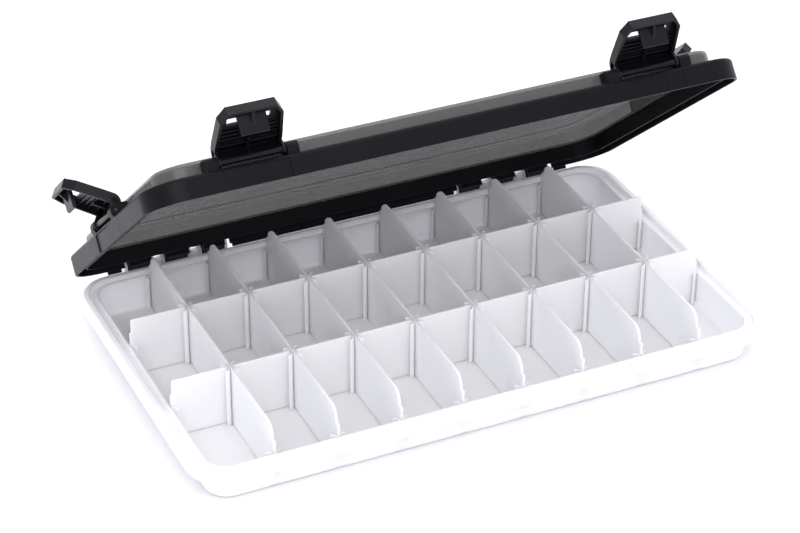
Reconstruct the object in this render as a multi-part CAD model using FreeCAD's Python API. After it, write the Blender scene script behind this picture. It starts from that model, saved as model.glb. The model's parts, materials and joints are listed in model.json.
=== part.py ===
import FreeCAD, Part
import math
import os
from FreeCAD import Vector

# Fishing tackle box: a shallow white tray with removable dividers, a black lid frame
# with a smoky window, four black swing latches and two hinge pins.
# Millimetres. Origin at the middle of the tray's underside, +X along the box, +Y to the hinge.

# --- driving dimensions -----------------------------------------------------------
columns = 9
rows = 3
column_pitch = 37.0
row_pitch = 65.0
tray_wall = 1.5
tray_floor = 1.5
lip_top = 24.0

# divider plates and the slots that hold them
divider_top = 38.5
divider_thick = 1.5
slot_clear = 0.15
slot_wall = 1.3
slot_reach = 3.4
slot_flare = 0.8
slot_straight = 1.9
wall_gap = 0.2
end_step_height = 29.6
divider_corner = 8.0
long_corner = 1.5
corner_steps = 6
end_inset = 0.5

# tray rim, from the inner wall outwards
groove_end = 3.7
groove_side = 2.0
groove_floor = 21.2
inner_edge_top = 22.2
lip_end = 4.1
lip_side = 3.5
flange_end = 1.9
flange_side = 2.6
flange_thick = 2.0
flange_top = 19.2
body_corner = 14.0
body_bottom_round = 5.0
floor_round = 2.5
lip_round = 0.9
flange_round = 0.7
rim_hollow_depth = 2.5
rim_hollow_margin = 1.5

# lid frame and window
skirt_gap = 0.3
skirt_height = 12.3
skirt_wall = 1.5
skirt_edge_round = 2.2
ledge_thick = 1.5
rib_thick = 1.2
rib_gap = 0.4
rib_seat_gap = 0.6
window_thick = 1.5
window_clear = 0.5
window_edge_round = 2.6
window_step = 0.9
window_border = 13.0
window_inner_round = 1.2
gasket_lip_gap = 0.25
gasket_side_gap = 0.35
gasket_round = 1.2

# lid hinge
hinge_height = 21.5
hinge_radius = 4.2
hinge_stand_off = 2.2
hinge_pin_radius = 1.3
hinge_centre_x = 108.5
barrel_pitch = 23.3
barrel_width = 13.8
hinge_side_gap = 0.35
ear_thick = 2.0
bridge_rise = 1.9
rail_half = 152.0
rail_depth = 2.4
rail_height = 6.8
rail_slope = 1.2
leaf_thick = 1.6
leaf_bottom = 17.8
leaf_side_gap = 2.4
arm_root_drop = 1.0
arm_out = 3.15
arm_rise = 2.8
notch_top = 26.7
notch_gap = 0.6
pin_fit = 0.05
pin_inset = 0.3

# latches
latch_centre_x = 117.0
latch_width = 37.6
latch_side_gap = 0.4
knuckle_width = 6.5
pivot_in = 3.3
pivot_rise = 3.4
knuckle_radius = 3.3
knuckle_slant = 0.66
knuckle_foot = 0.5
pivot_lobe = 3.0
barrel_radius = 1.9
latch_pin_radius = 1.1
latch_outer = 10.1
latch_length = 30.0
latch_wall = 1.7
latch_depth = 5.6
latch_heel_round = 6.2
latch_limit = 134.0
window_latch_gap = 0.5
leg_width = 6.0
leg_round = 2.9
tip_chamfer = 6.3
tip_across = 5.2
tip_taper = 1.2
hook_width = 16.0
hook_gap = 0.3
hook_thick = 1.7
hook_reach = -1.9
hook_root = 9.2
hook_root_thick = 2.4
web_set_back = 3.2
opening_width = 24.2
opening_past = 1.0
opening_length = 4.8
first_rib = -3.2
second_rib = -8.0
rib_pitch = 2.8
rib_height = 1.5
centre_rib_height = 3.4
recess_depth = 0.35
recess_strip = 11.0

# pose that the box is shown in
lid_open = 40.8
latch_open = {"front_left": 121.0, "front_right": 121.0, "end_left": 122.0, "end_right": 122.0}

# --- sizes that follow ------------------------------------------------------------
body_x = columns * column_pitch / 2
body_y = rows * row_pitch / 2
inner_x = body_x - tray_wall
inner_y = body_y - tray_wall
lip_in_x = body_x + groove_end
lip_in_y = body_y + groove_side
lip_out_x = lip_in_x + lip_end
lip_out_y = lip_in_y + lip_side
rim_x = lip_out_x + flange_end
rim_y = lip_out_y + flange_side
lip_in_corner = body_corner + groove_side
lip_out_corner = lip_in_corner + lip_side
rim_corner = lip_out_corner + flange_end

skirt_bottom = flange_top + skirt_gap
skirt_top = skirt_bottom + skirt_height
ledge_under = skirt_top - ledge_thick
heel_x = latch_outer - latch_heel_round
heel_z = pivot_lobe - latch_heel_round
heel_turn = math.radians(latch_limit)
heel_reach = latch_heel_round - heel_x * math.cos(heel_turn) + heel_z * math.sin(heel_turn)
ledge_width = pivot_in + heel_reach + window_latch_gap
window_x = rim_x - ledge_width
window_y = rim_y - ledge_width
window_corner = body_corner + groove_side
window_under = divider_top + window_clear
window_top = window_under + window_thick
divider_end_x = window_x - window_thick - end_inset
divider_end_y = window_y - window_thick - end_inset

hinge_y = rim_y + hinge_radius + hinge_stand_off
slot_gap = divider_thick + 2 * slot_clear
column_lines = [column_pitch * (i - columns / 2) for i in range(1, columns)]
row_lines = [row_pitch * (i - rows / 2) for i in range(1, rows)]
knuckle_pitch = latch_width + 2 * latch_side_gap + knuckle_width
pivot_z = skirt_top + pivot_rise
catch = -(pivot_z - (flange_top - flange_thick) + hook_gap)
latch_inner = latch_outer - latch_wall
hinge_centres = (-hinge_centre_x, hinge_centre_x)
hinge_reach = barrel_pitch + barrel_width / 2 + hinge_side_gap
pair_half = (barrel_pitch - barrel_width) / 2 - hinge_side_gap


# --- building blocks --------------------------------------------------------------
def slab(half_x, half_y, corner, low, high):
    """A rounded rectangle standing on low and reaching high."""
    box = Part.makeBox(2 * half_x, 2 * half_y, high - low, Vector(-half_x, -half_y, low))
    upright = [e for e in box.Edges if abs(e.BoundBox.ZLength - (high - low)) < 1e-6]
    return box.makeFillet(corner, upright)


def block(x0, x1, y0, y1, z0, z1):
    return Part.makeBox(x1 - x0, y1 - y0, z1 - z0, Vector(x0, y0, z0))


def level_edges(shape, height):
    """Edges that lie flat at a height."""
    return [e for e in shape.Edges
            if abs(e.BoundBox.ZMin - height) < 1e-4 and abs(e.BoundBox.ZMax - height) < 1e-4]


def side_profile(points, x0, x1):
    """A closed outline in the YZ plane, drawn out from x0 to x1."""
    loop = [Vector(x0, y, z) for y, z in points]
    face = Part.Face(Part.makePolygon(loop + loop[:1]))
    return face.extrude(Vector(x1 - x0, 0, 0))


def end_profile(points, y0, y1):
    """A closed outline in the XZ plane, drawn out from y0 to y1."""
    loop = [Vector(x, y0, z) for x, z in points]
    face = Part.Face(Part.makePolygon(loop + loop[:1]))
    return face.extrude(Vector(0, y1 - y0, 0))


def rod(x0, x1, y, z, radius):
    """A round bar along X."""
    return Part.makeCylinder(radius, x1 - x0, Vector(x0, y, z), Vector(1, 0, 0))


def joined(shapes):
    return shapes[0].fuse(shapes[1:]).removeSplitter()


def turned(shape, point, axis, degrees):
    copy = shape.copy()
    copy.rotate(point, axis, degrees)
    return copy


def moved(shape, x, y, z):
    copy = shape.copy()
    copy.translate(Vector(x, y, z))
    return copy


# --- slots that hold the divider ends ---------------------------------------------
def prong_pair(low, high):
    """Two upright prongs that reach towards +Y and hold a plate between them."""
    prongs = []
    for side in (-1, 1):
        near = side * slot_gap / 2
        flare = side * slot_flare
        outline = [
            Vector(near, 0, low),
            Vector(near + side * slot_wall, 0, low),
            Vector(near + side * slot_wall + flare, slot_reach, low),
            Vector(near + flare, slot_reach, low),
            Vector(near, slot_straight, low),
        ]
        face = Part.Face(Part.makePolygon(outline + outline[:1]))
        prongs.append(face.extrude(Vector(0, 0, high - low)))
    return prongs


def slot(x, y, heading, low, high):
    """A slot at a point on a wall, opening in the direction heading (degrees from +Y)."""
    out = []
    for prong in prong_pair(low, high):
        prong = turned(prong, Vector(), Vector(0, 0, 1), heading)
        out.append(moved(prong, x, y, 0))
    return out


# --- tray -------------------------------------------------------------------------
def tray_shell():
    body = slab(body_x, body_y, body_corner, 0, flange_top)
    body = body.makeFillet(body_bottom_round, level_edges(body, 0))
    flange = slab(rim_x, rim_y, rim_corner, flange_top - flange_thick, flange_top)
    flange = flange.makeFillet(flange_round, level_edges(flange, flange_top - flange_thick))
    flange = flange.makeFillet(flange_round, level_edges(flange, flange_top))
    lip = slab(lip_out_x, lip_out_y, lip_out_corner, flange_top - flange_thick, lip_top)
    lip = lip.makeFillet(lip_round, level_edges(lip, lip_top))
    return joined([body, flange, lip])


def tray_hollows():
    cavity = slab(inner_x, inner_y, body_corner - tray_wall, tray_floor, lip_top + 1)
    cavity = cavity.makeFillet(floor_round, level_edges(cavity, tray_floor))
    groove = slab(lip_in_x, lip_in_y, lip_in_corner, groove_floor, lip_top + 1)
    bead = slab(body_x, body_y, body_corner, groove_floor, inner_edge_top)
    under = slab(lip_out_x - rim_hollow_margin, lip_out_y - rim_hollow_margin,
                 lip_out_corner - rim_hollow_margin,
                 flange_top - flange_thick, flange_top - flange_thick + rim_hollow_depth)
    core = slab(body_x, body_y, body_corner, 0, lip_top)
    return [cavity, groove.cut(bead), under.cut(core)]


def tray_slots():
    made = []
    for x in column_lines:
        made += slot(x, -inner_y, 0, tray_floor, inner_edge_top)
        made += slot(x, inner_y, 180, tray_floor, inner_edge_top)
    for y in row_lines:
        made += slot(-inner_x, y, -90, tray_floor, inner_edge_top)
        made += slot(inner_x, y, 90, tray_floor, inner_edge_top)
    return made


def hinge_ear(x0, x1):
    """One upright of the tray's hinge: a round head on a foot that grows out of the flange."""
    foot = flange_top - flange_thick
    head = rod(x0, x1, hinge_y, hinge_height, hinge_radius)
    arm = side_profile([(rim_y - flange_side, foot), (hinge_y + hinge_radius, foot),
                        (hinge_y + hinge_radius, hinge_height), (hinge_y - hinge_radius, hinge_height),
                        (hinge_y - hinge_radius, flange_top), (rim_y - flange_side, flange_top)], x0, x1)
    return head.fuse(arm)


def hinge_ears(centre):
    """Two single ears outside and two bridged pairs between the lid's three barrels."""
    half = pair_half
    made = [hinge_ear(centre - hinge_reach - ear_thick, centre - hinge_reach),
            hinge_ear(centre + hinge_reach, centre + hinge_reach + ear_thick)]
    for side in (-1, 1):
        middle = centre + side * barrel_pitch / 2
        made.append(hinge_ear(middle - half, middle - half + ear_thick))
        made.append(hinge_ear(middle + half - ear_thick, middle + half))
        made.append(block(middle - half, middle + half, rim_y - flange_side, hinge_y + hinge_radius,
                          flange_top - flange_thick, flange_top))
        made.append(block(middle - half, middle + half, hinge_y - hinge_radius, hinge_y,
                          flange_top - flange_thick, hinge_height + bridge_rise))
    return made


def hinge_bores(radius):
    reach = hinge_reach + ear_thick + 1
    return [rod(c - reach, c + reach, hinge_y, hinge_height, radius) for c in hinge_centres]


def tray():
    shell = tray_shell()
    for hollow in tray_hollows():
        shell = shell.cut(hollow)
    shell = joined([shell] + tray_slots())
    for centre in hinge_centres:
        shell = joined([shell] + hinge_ears(centre))
    for bore in hinge_bores(hinge_pin_radius):
        shell = shell.cut(bore)
    return shell


# --- dividers ---------------------------------------------------------------------
def stepped_end(wall, upper, corner):
    """Half of a divider's outline: out to the wall below, stepped in above, rounded on top."""
    low = tray_floor + slot_clear
    reach = wall - wall_gap
    points = [(reach - floor_round, low), (reach, low + floor_round),
              (reach, end_step_height), (upper, end_step_height)]
    for i in range(corner_steps + 1):
        turn = math.radians(90 * i / corner_steps)
        points.append((upper - corner + corner * math.cos(turn),
                       divider_top - corner + corner * math.sin(turn)))
    return points


def long_divider(y):
    right = stepped_end(inner_x, divider_end_x, long_corner)
    left = [(-x, z) for x, z in reversed(right)]
    plate = end_profile(right + left, y - divider_thick / 2, y + divider_thick / 2)
    parts = [plate]
    for x in column_lines:
        parts += slot(x, y + divider_thick / 2, 0, tray_floor + slot_clear, divider_top)
        parts += slot(x, y - divider_thick / 2, 180, tray_floor + slot_clear, divider_top)
    return joined(parts)


def cross_divider(x, row):
    """A plate across one row, rounded and stepped where it meets an outer wall."""
    low = tray_floor + slot_clear
    half = row_pitch / 2 - divider_thick / 2 - slot_clear
    middle = row_pitch * (row - (rows - 1) / 2)
    plain = [(half, low), (half, divider_top)]
    walled = [(y - abs(middle), z) for y, z in stepped_end(inner_y, divider_end_y, divider_corner)]
    right = walled if row == rows - 1 else plain
    left = walled if row == 0 else plain
    outline = right + [(-y, z) for y, z in reversed(left)]
    outline = [(middle + y, z) for y, z in outline]
    return side_profile(outline, x - divider_thick / 2, x + divider_thick / 2)


# --- lid, drawn shut --------------------------------------------------------------
def skirt_and_ledge():
    outer = slab(rim_x, rim_y, rim_corner, skirt_bottom, skirt_top)
    outer = outer.makeFillet(skirt_edge_round, level_edges(outer, skirt_top))
    inside = slab(rim_x - skirt_wall, rim_y - skirt_wall, rim_corner - skirt_wall, skirt_bottom, ledge_under)
    opening = slab(window_x, window_y, window_corner, skirt_bottom, skirt_top)
    return outer.cut(inside).cut(opening)


def seal_rib():
    """The inner rib that drops into the tray's groove."""
    out_x = lip_in_x - rib_gap
    out_y = lip_in_y - rib_gap
    corner = lip_in_corner - rib_gap
    low = groove_floor + rib_seat_gap
    outer = slab(out_x, out_y, corner, low, ledge_under)
    return outer.cut(slab(out_x - rib_thick, out_y - rib_thick, corner - rib_thick, low, ledge_under))


def lid_barrel(middle):
    """One round barrel of the lid's hinge, with the arm that joins it to the rear skirt."""
    x0 = middle - barrel_width / 2
    x1 = middle + barrel_width / 2
    head = rod(x0, x1, hinge_y, hinge_height, hinge_radius)
    root = rim_y - skirt_wall / 2
    arm = side_profile([(root, hinge_height - arm_root_drop), (root, skirt_top - skirt_edge_round),
                        (rim_y + rail_depth, skirt_top - skirt_edge_round),
                        (hinge_y + arm_out, hinge_height + arm_rise),
                        (hinge_y, hinge_height)], x0, x1)
    return head.fuse(arm)


def hinge_rail():
    """The long stiffening bead along the rear skirt."""
    top = skirt_top - skirt_edge_round
    root = rim_y - skirt_wall / 2
    face = rim_y + rail_depth
    return side_profile([(root, top - rail_height), (face - rail_slope, top - rail_height),
                         (face, top - rail_height + rail_slope), (face, top - rail_slope),
                         (face - rail_slope, top), (root, top)], -rail_half, rail_half)


def rail_leaves():
    """The rail's lower leaf, which covers the flange's edge between and beside the hinges."""
    near = hinge_centre_x - hinge_reach - ear_thick - leaf_side_gap
    far = hinge_centre_x + hinge_reach + ear_thick + leaf_side_gap
    face = rim_y + rail_depth
    top = skirt_top - skirt_edge_round - rail_depth
    return [block(x0, x1, face - leaf_thick, face, leaf_bottom, top)
            for x0, x1 in ((-rail_half, -far), (-near, near), (far, rail_half))]


def ear_notches():
    """Openings in the rear skirt and rail in front of each ear of the tray."""
    spans = []
    for centre in hinge_centres:
        for side in (-1, 1):
            single = centre + side * (hinge_reach + ear_thick / 2)
            pair = centre + side * barrel_pitch / 2
            spans += [(single, ear_thick / 2 + notch_gap), (pair, pair_half)]
    return [block(x - half, x + half, rim_y - skirt_wall - 1, hinge_y, leaf_bottom - 1, notch_top)
            for x, half in spans]


def knuckle():
    """A rounded block that holds one end of a latch pin: pivot at the origin, outwards is +X."""
    head = Part.makeCylinder(knuckle_radius, knuckle_width, Vector(), Vector(0, 1, 0))
    back = -(ledge_width - pivot_in)
    foot = -pivot_rise - ledge_thick / 2
    base = end_profile([(back, foot), (knuckle_radius - skirt_edge_round, foot),
                        (knuckle_radius - knuckle_slant, -pivot_rise + knuckle_foot),
                        (knuckle_radius, 0), (0, 0), (0, knuckle_radius),
                        (back, knuckle_radius)], 0, knuckle_width)
    return head.fuse(base).removeSplitter()


def latch_sites():
    """Name, pivot and heading of each latch, with the lid shut."""
    front = -(rim_y - pivot_in)
    end = rim_x - pivot_in
    return {
        "front_left": (Vector(-latch_centre_x, front, pivot_z), -90),
        "front_right": (Vector(latch_centre_x, front, pivot_z), -90),
        "end_left": (Vector(-end, 0, pivot_z), 180),
        "end_right": (Vector(end, 0, pivot_z), 0),
    }


def at_site(shape, site):
    pivot, heading = site
    return moved(turned(shape, Vector(), Vector(0, 0, 1), heading), pivot.x, pivot.y, pivot.z)


def latch_rod(radius, inset):
    half = latch_width / 2 + latch_side_gap + knuckle_width - inset
    return Part.makeCylinder(radius, 2 * half, Vector(0, -half, 0), Vector(0, 1, 0))


def lid_recesses(heading_side):
    """Two shallow steps in the skirt behind a latch; heading_side says which end is deeper."""
    half = latch_width / 2 + latch_side_gap
    face = pivot_in
    low = skirt_bottom - pivot_z - 1
    high = skirt_top - pivot_z - skirt_edge_round
    first = block(face - recess_depth, face + 1, -half, half, low, high)
    strip = (-half, half - recess_strip) if heading_side > 0 else (-half + recess_strip, half)
    second = block(face - 2 * recess_depth, face + 1, strip[0], strip[1], low, high)
    return first.fuse(second)


def lid_frame():
    parts = [skirt_and_ledge(), seal_rib(), hinge_rail()] + rail_leaves()
    frame = joined(parts)
    for notch in ear_notches():
        frame = frame.cut(notch)
    parts = [frame]
    for centre in hinge_centres:
        for i in (-1, 0, 1):
            parts.append(lid_barrel(centre + i * barrel_pitch))
    for site in latch_sites().values():
        near = latch_width / 2 + latch_side_gap
        for start in (near, -near - knuckle_width):
            parts.append(at_site(moved(knuckle(), 0, start, 0), site))
    frame = joined(parts)
    for name, site in latch_sites().items():
        frame = frame.cut(at_site(latch_rod(latch_pin_radius, pin_inset), site))
        frame = frame.cut(at_site(lid_recesses(1 if name.endswith("right") else -1), site))
    for bore in hinge_bores(hinge_pin_radius + pin_fit):
        frame = frame.cut(bore)
    return frame


def lid_window():
    """The raised clear panel: a shallow pan with a stepped border, open below."""
    outer = slab(window_x, window_y, window_corner, ledge_under, window_top)
    outer = outer.makeFillet(window_edge_round, level_edges(outer, window_top))
    inside = slab(window_x - window_thick, window_y - window_thick, window_corner - window_thick,
                  ledge_under, window_under)
    inside = inside.makeFillet(window_inner_round, level_edges(inside, window_under))
    field = slab(window_x - window_border, window_y - window_border, window_corner,
                 window_top - window_step, window_top + 1)
    return outer.cut(inside).cut(field)


def lid_gasket():
    in_x = lip_in_x - rib_gap + gasket_side_gap
    in_y = lip_in_y - rib_gap + gasket_side_gap
    out_x = rim_x - skirt_wall - gasket_side_gap
    out_y = rim_y - skirt_wall - gasket_side_gap
    low = lip_top + gasket_lip_gap
    outer = slab(out_x, out_y, lip_out_corner, low, ledge_under)
    ring = outer.cut(slab(in_x, in_y, lip_in_corner, low, ledge_under))
    return ring.makeFillet(gasket_round, level_edges(ring, low))


# --- latch, drawn shut with its pivot at the origin --------------------------------
def latch_outline(margin, top):
    """The latch seen from outside, margin inside its edge, as (width, height) points."""
    half = latch_width / 2 - margin
    low = -latch_length + margin
    high = -latch_length + tip_chamfer
    right = [(half - tip_across, low), (half - tip_taper, high), (half, -leg_width), (half, top)]
    return [(-y, z) for y, z in reversed(right)] + right


def latch_plate(x0, x1, margin, top):
    loop = [Vector(x0, y, z) for y, z in latch_outline(margin, top)]
    face = Part.Face(Part.makePolygon(loop + loop[:1]))
    return face.extrude(Vector(x1 - x0, 0, 0))


def latch_solid():
    """The latch before it is hollowed: plate depth, two legs' depth and a rounded heel."""
    solid = latch_plate(latch_outer - latch_depth, latch_outer, 0, pivot_lobe)
    legs = block(-pivot_lobe, latch_outer, -latch_width / 2, latch_width / 2,
                 pivot_lobe - leg_width, pivot_lobe)
    solid = solid.fuse(legs).removeSplitter()
    width = latch_width - 1e-3
    across = [e for e in solid.Edges if e.BoundBox.YLength > width]
    heel = [e for e in across if e.BoundBox.XMin > 0 and abs(e.BoundBox.ZMin - pivot_lobe) < 1e-6]
    solid = solid.makeFillet(latch_heel_round, heel)
    across = [e for e in solid.Edges if e.BoundBox.YLength > width]
    inner = [e for e in across if e.BoundBox.XMax < 0]
    return solid.makeFillet(leg_round, inner)


def latch_hollow():
    return latch_plate(-pivot_lobe - 1, latch_inner, latch_wall, pivot_lobe + 1)


def latch_hook():
    """The sloping tongue that catches under the tray's flange, and the web that stiffens it."""
    plate = latch_outer - latch_wall / 2
    tip = catch - hook_thick
    root = catch - hook_root
    outline = [(hook_reach, catch), (hook_reach, tip), (plate, root), (plate, root + hook_root_thick),
               (hook_reach + hook_thick, catch)]
    tongue = end_profile(outline, -hook_width / 2, hook_width / 2)
    slope = (root - tip) / (plate - hook_reach)
    end = -latch_length + latch_wall / 2
    outline = [(hook_reach + web_set_back, tip + web_set_back * slope),
               (latch_outer - latch_depth, end), (plate, end), (plate, root)]
    return [tongue, end_profile(outline, -latch_wall / 2, latch_wall / 2)]


def latch_ribs():
    """Ribs across the plate, one rib up its middle, the bar round the pin and the heel's web."""
    inner = latch_width / 2 - latch_wall / 2
    plate = latch_inner + latch_wall / 2
    last_rib = second_rib - 2 * rib_pitch
    made = [block(latch_inner - rib_height, plate, -inner, inner, height - latch_wall / 2, height)
            for height in (first_rib, second_rib, second_rib - rib_pitch, last_rib)]
    made.append(block(0, plate, -latch_wall / 2, latch_wall / 2, -barrel_radius, barrel_radius))
    made.append(block(latch_inner - centre_rib_height, plate, -latch_wall / 2, latch_wall / 2,
                      second_rib - latch_wall / 2, barrel_radius))
    made.append(Part.makeCylinder(barrel_radius, 2 * inner, Vector(0, -inner, 0), Vector(0, 1, 0)))
    made.append(block(0, plate, -inner, inner, barrel_radius - latch_wall, barrel_radius))
    return joined(made)


def latch_opening():
    """The opening behind the hook, left by the mould core that shapes it."""
    top = catch + opening_past
    return block(latch_inner - 1, latch_outer + 1, -opening_width / 2, opening_width / 2,
                 top - opening_length, top)


def latch():
    solid = latch_solid()
    body = joined([solid.cut(latch_hollow()), latch_ribs().common(solid)] + latch_hook())
    body = body.cut(latch_opening())
    bore = latch_rod(latch_pin_radius + pin_fit, 0)
    return body.cut(bore)


# --- the whole box, posed -----------------------------------------------------------
def with_lid(shape):
    """Carries a piece drawn on the shut lid to where the open lid holds it."""
    return turned(shape, Vector(0, hinge_y, hinge_height), Vector(-1, 0, 0), lid_open)


def nodes():
    made = {"tray_base": tray(),
            "long_divider_front": long_divider(row_lines[0]),
            "long_divider_rear": long_divider(row_lines[-1])}
    for row, label in enumerate(("front", "middle", "rear")):
        for number, x in enumerate(column_lines, 1):
            made["cross_divider_%s_%d" % (label, number)] = cross_divider(x, row)
    reach = hinge_reach + ear_thick - pin_inset
    for label, centre in zip(("left", "right"), hinge_centres):
        made["hinge_pin_" + label] = rod(centre - reach, centre + reach, hinge_y, hinge_height,
                                         hinge_pin_radius)
    made["lid_frame"] = with_lid(lid_frame())
    made["lid_window"] = with_lid(lid_window())
    made["lid_gasket"] = with_lid(lid_gasket())
    for name, site in latch_sites().items():
        swung = turned(latch(), Vector(), Vector(0, -1, 0), latch_open[name])
        made["latch_" + name] = with_lid(at_site(swung, site))
        made["latch_pin_" + name] = with_lid(at_site(latch_rod(latch_pin_radius, pin_inset), site))
    return made


def main():
    os.makedirs("parts", exist_ok=True)
    for name, shape in nodes().items():
        shape.exportStep("parts/%s.step" % name)
        print(name, shape.isValid(), len(shape.Solids), round(shape.Volume, 1))


main()
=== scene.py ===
import json
from math import cos, radians, sin

import bmesh
import bpy
from mathutils import Matrix, Vector


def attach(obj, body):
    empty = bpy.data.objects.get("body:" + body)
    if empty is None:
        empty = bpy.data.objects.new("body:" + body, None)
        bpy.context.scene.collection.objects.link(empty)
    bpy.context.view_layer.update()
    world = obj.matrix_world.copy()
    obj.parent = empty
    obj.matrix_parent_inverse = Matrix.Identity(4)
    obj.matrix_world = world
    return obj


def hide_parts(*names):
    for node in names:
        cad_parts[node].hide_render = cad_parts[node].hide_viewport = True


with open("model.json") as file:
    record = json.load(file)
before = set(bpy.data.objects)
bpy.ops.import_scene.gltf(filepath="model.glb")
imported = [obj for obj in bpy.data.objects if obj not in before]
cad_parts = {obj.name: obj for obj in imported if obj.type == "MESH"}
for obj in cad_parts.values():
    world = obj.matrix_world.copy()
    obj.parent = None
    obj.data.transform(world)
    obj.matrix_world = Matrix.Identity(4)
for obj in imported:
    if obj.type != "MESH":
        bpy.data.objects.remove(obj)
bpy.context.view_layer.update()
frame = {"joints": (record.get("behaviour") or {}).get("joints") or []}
mm = 0.001

# --- Camera -------------------------------------------------------------------------
# A long lens looks down on the open box from past its front left corner, far enough
# off that the long sides stay nearly parallel.
camera_turn = radians(25.04)
camera_drop = radians(32.495)
camera_roll = radians(0.379)
camera_distance = 1446.2 * mm
aim_height = 38.5 * mm
aim_left = 11.26 * mm
aim_up = 9.43 * mm
focal_length = 113.55
forward = Vector((sin(camera_turn) * cos(camera_drop), cos(camera_turn) * cos(camera_drop),
                  -sin(camera_drop)))
level = forward.cross(Vector((0, 0, 1))).normalized()
upright = level.cross(forward)
across = level * cos(camera_roll) + upright * sin(camera_roll)
upward = upright * cos(camera_roll) - level * sin(camera_roll)
aim = Vector((0, 0, aim_height)) - across * aim_left + upward * aim_up
lens = bpy.data.cameras.new("camera")
lens.lens = focal_length
camera = bpy.data.objects.new("camera", lens)
facing = Matrix((across, upward, -forward)).transposed().to_4x4()
camera.matrix_world = Matrix.Translation(aim - forward * camera_distance) @ facing
bpy.context.scene.collection.objects.link(camera)
bpy.context.scene.camera = camera
bpy.context.scene.view_settings.view_transform = "Standard"

# --- Floor and light ----------------------------------------------------------------
# The box stands on a sheet of white card under a big overhead softbox. A stronger one
# stands to the front left, and a pale sky fills the shadows.


class Wire:
    """A value inside a shader: sums, differences and products of wires add Math nodes."""

    def __init__(self, shader, socket):
        self.shader = shader
        self.socket = socket

    def math(self, operation, first, second):
        return self.shader.node("Math", {0: first, 1: second}, operation=operation)

    def __add__(self, other):
        return self.math("ADD", self, other)

    def __sub__(self, other):
        return self.math("SUBTRACT", self, other)

    def __rsub__(self, other):
        return self.math("SUBTRACT", other, self)

    def __mul__(self, other):
        return self.math("MULTIPLY", self, other)


class Shader:
    """A material under construction."""

    def __init__(self, name):
        self.material = bpy.data.materials.new(name)
        self.material.use_nodes = True
        self.tree = self.material.node_tree
        self.tree.nodes.clear()

    def node(self, kind, inputs, output=0, **settings):
        """Adds a node: its settings go in first, then the values or wires of its sockets."""
        made = self.tree.nodes.new("ShaderNode" + kind)
        for key, value in settings.items():
            setattr(made, key, value)
        for key, value in inputs.items():
            if isinstance(value, Wire):
                self.tree.links.new(value.socket, made.inputs[key])
            else:
                made.inputs[key].default_value = value
        return Wire(self, made.outputs[output])

    def place(self, stretch=(1, 1, 1), turn=(0, 0, 0)):
        """Where a point is on the piece, in metres, stretched and turned for a pattern."""
        point = self.node("TexCoord", {}, output="Object")
        return self.node("Mapping", {"Vector": point, "Rotation": turn, "Scale": stretch})

    def noise(self, size, detail=2.0, stretch=(1, 1, 1), turn=(0, 0, 0)):
        """Soft random spots of about this size, from 0 to 1."""
        inputs = {"Vector": self.place(stretch, turn), "Scale": 1 / size, "Detail": detail}
        return self.node("TexNoise", inputs)

    def ramp(self, value, low, high):
        """Rises from 0 to 1 as the value goes from low to high."""
        inputs = {"Value": value, "From Min": low, "From Max": high}
        return self.node("MapRange", inputs, interpolation_type="SMOOTHSTEP")

    def blend(self, share, first, second):
        """Mixes two colours, each a wire or three numbers."""
        first, second = (c if isinstance(c, Wire) else (*c, 1) for c in (first, second))
        return self.node("Mix", {0: share, 6: first, 7: second}, output=2, data_type="RGBA")

    def finish(self, surface):
        end = self.tree.nodes.new("ShaderNodeOutputMaterial")
        self.tree.links.new(surface.socket, end.inputs["Surface"])
        return self.material


floor_half = 4.0
floor_drop = 0.02 * mm
card = Shader("white_card")
card_shade = card.blend(card.noise(60 * mm), (0.9, 0.9, 0.9), (0.93, 0.93, 0.93))
sheet = bmesh.new()
bmesh.ops.create_grid(sheet, x_segments=1, y_segments=1, size=floor_half,
                      matrix=Matrix.Translation((0, 0, -floor_drop)))
floor_mesh = bpy.data.meshes.new("floor")
sheet.to_mesh(floor_mesh)
sheet.free()
floor_mesh.materials.append(card.finish(card.node("BsdfPrincipled", {
    "Base Color": card_shade, "Roughness": 0.9})))
floor = bpy.data.objects.new("floor", floor_mesh)
bpy.context.scene.collection.objects.link(floor)

sky_tint = (0.93, 0.93, 1.0, 1)
sky_strength = 1.1
world = bpy.data.worlds.new("studio")
world.use_nodes = True
world.node_tree.nodes["Background"].inputs["Color"].default_value = sky_tint
world.node_tree.nodes["Background"].inputs["Strength"].default_value = sky_strength
bpy.context.scene.world = world


def softbox(name, place, target, width, depth, power, colour):
    """A rectangular soft light that faces a target."""
    panel = bpy.data.lights.new(name, "AREA")
    panel.shape = "RECTANGLE"
    panel.size = width
    panel.size_y = depth
    panel.energy = power
    panel.color = colour
    lamp = bpy.data.objects.new(name, panel)
    lamp.location = place
    lamp.rotation_euler = (Vector(target) - Vector(place)).to_track_quat("-Z", "Y").to_euler()
    bpy.context.scene.collection.objects.link(lamp)


softbox("overhead", (0.1, 0.2, 1.3), (0, 0, 0), 1.5, 1.0, 6.0, (1.0, 0.995, 0.985))
softbox("front_left", (-0.5, -1.1, 1.25), (0, 0, 0.02), 1.3, 0.9, 8.5, (1.0, 0.998, 0.99))

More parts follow.
